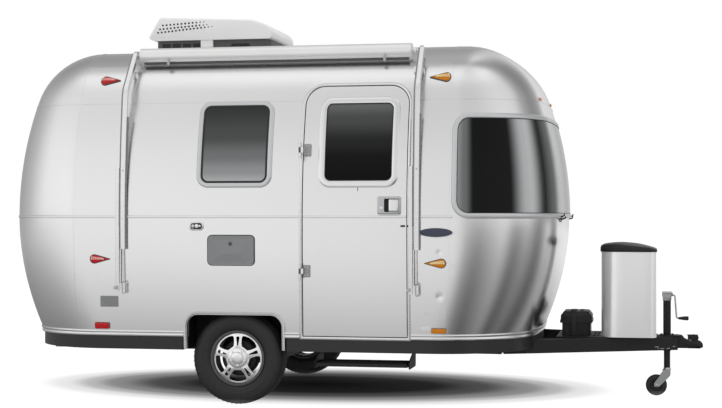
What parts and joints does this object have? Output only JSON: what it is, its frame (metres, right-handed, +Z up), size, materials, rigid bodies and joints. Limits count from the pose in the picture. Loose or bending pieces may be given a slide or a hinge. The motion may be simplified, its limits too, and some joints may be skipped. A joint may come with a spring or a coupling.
{
  "type": "single-axle aluminium travel trailer",
  "caption": "Rounded riveted-aluminium travel caravan on one axle, with entry door, awning, roof air conditioner, A-frame tongue and wheeled jack.",
  "frame": {"origin": "on the floor, under the middle of the overall length, on the centreline", "axes": "+X forwards to the hitch, +Y to the street side, +Z up"},
  "size_m": [5.0727, 2.492, 2.835],
  "materials": {
    "aluminium": "brushed and polished aluminium sheet",
    "trim": "extruded aluminium trim",
    "door_skin": "polished aluminium sheet",
    "window_frame": "satin extruded frame",
    "tinted_glass": "dark tinted safety glass",
    "black_steel": "black chassis paint",
    "galvanised": "zinc plated steel",
    "tyre": "black rubber",
    "alloy": "cast alloy wheel, machined face",
    "white_plastic": "white moulded plastic",
    "grey_plastic": "grey moulded plastic",
    "black_plastic": "black moulded plastic",
    "red_lens": "red lens",
    "amber_lens": "amber lens",
    "cover_metal": "bright sheet metal cover",
    "bottle": "painted gas bottle",
    "floor": "sealed floor board",
    "liner": "black painted sheet"
  },
  "bodies": {
    "trailer": {"wall_curb_rear": "aluminium", "wall_curb_front": "aluminium", "wall_street": "aluminium", "roof_panel": "aluminium", "end_cap_front": "aluminium", "end_cap_rear": "aluminium", "window_frames": "window_frame", "window_glass": "tinted_glass", "window_mullions": "window_frame", "belt_trim": "trim", "rub_rail": "trim", "door_frame": "trim", "arch_trims": "trim", "skirt": "black_steel", "floor_deck": "floor", "wheel_wells": "liner", "chassis_rails": "black_steel", "cross_members": "black_steel", "a_frame_rails": "black_steel", "tongue_tray": "black_steel", "coupler": "black_steel", "jack_tube": "black_steel", "axle": "black_steel", "gas_cover": "cover_metal", "gas_bottles": "bottle", "battery_box": "black_plastic", "ac_base": "black_plastic", "ac_shroud": "white_plastic", "awning_roller": "trim", "awning_arms": "trim", "lamps_red": "red_lens", "lamps_amber": "amber_lens", "side_outlets": "grey_plastic", "step_bracket": "black_steel"},
    "wheel_curb": {"tyre_curb": "tyre", "wheel_curb": "alloy"},
    "wheel_street": {"tyre_street": "tyre", "wheel_street": "alloy"},
    "entry_door": {"entry_door": "door_skin", "door_glass": "tinted_glass", "door_window_frame": "trim", "door_hardware": "galvanised"},
    "service_hatch": {"service_hatch": "grey_plastic"},
    "gas_lid": {"gas_lid": "black_plastic"},
    "jack_leg": {"jack_leg": "black_steel"},
    "jack_fork": {"jack_fork": "galvanised"},
    "jack_wheel": {"jack_wheel": "tyre"},
    "step": {"step_tread": "black_steel"}
  },
  "joints": [
    {"name": "wheel_curb_spin", "type": "hinge", "parent": "trailer", "child": "wheel_curb", "pos_m": [-0.685, -1.03, 0.325], "axis": [0, 1, 0], "continuous": true},
    {"name": "wheel_street_spin", "type": "hinge", "parent": "trailer", "child": "wheel_street", "pos_m": [-0.685, 1.03, 0.325], "axis": [0, 1, 0], "continuous": true},
    {"name": "door_swing", "type": "hinge", "parent": "trailer", "child": "entry_door", "pos_m": [-0.205, -1.246, 1.3], "axis": [0, 0, -1], "range_deg": [0, 140]},
    {"name": "hatch_swing", "type": "hinge", "parent": "trailer", "child": "service_hatch", "pos_m": [-0.702, -1.226, 1.189], "axis": [-1, 0, 0], "range_deg": [0, 100]},
    {"name": "gas_lid_swing", "type": "hinge", "parent": "trailer", "child": "gas_lid", "pos_m": [1.793, 0, 1.063], "axis": [0, -1, 0], "range_deg": [0, 80]},
    {"name": "jack_slide", "type": "slide", "parent": "trailer", "child": "jack_leg", "axis": [0, 0, 1], "range_m": [-0.12, 0.1]},
    {"name": "jack_swivel", "type": "hinge", "parent": "jack_leg", "child": "jack_fork", "pos_m": [2.278, 0, 0.2], "axis": [0, 0, 1], "continuous": true},
    {"name": "jack_wheel_spin", "type": "hinge", "parent": "jack_fork", "child": "jack_wheel", "pos_m": [2.201, 0, 0.077], "axis": [0, 1, 0], "continuous": true},
    {"name": "step_slide", "type": "slide", "parent": "trailer", "child": "step", "axis": [0, -1, 0], "range_m": [0, 0.24]}
  ]
}
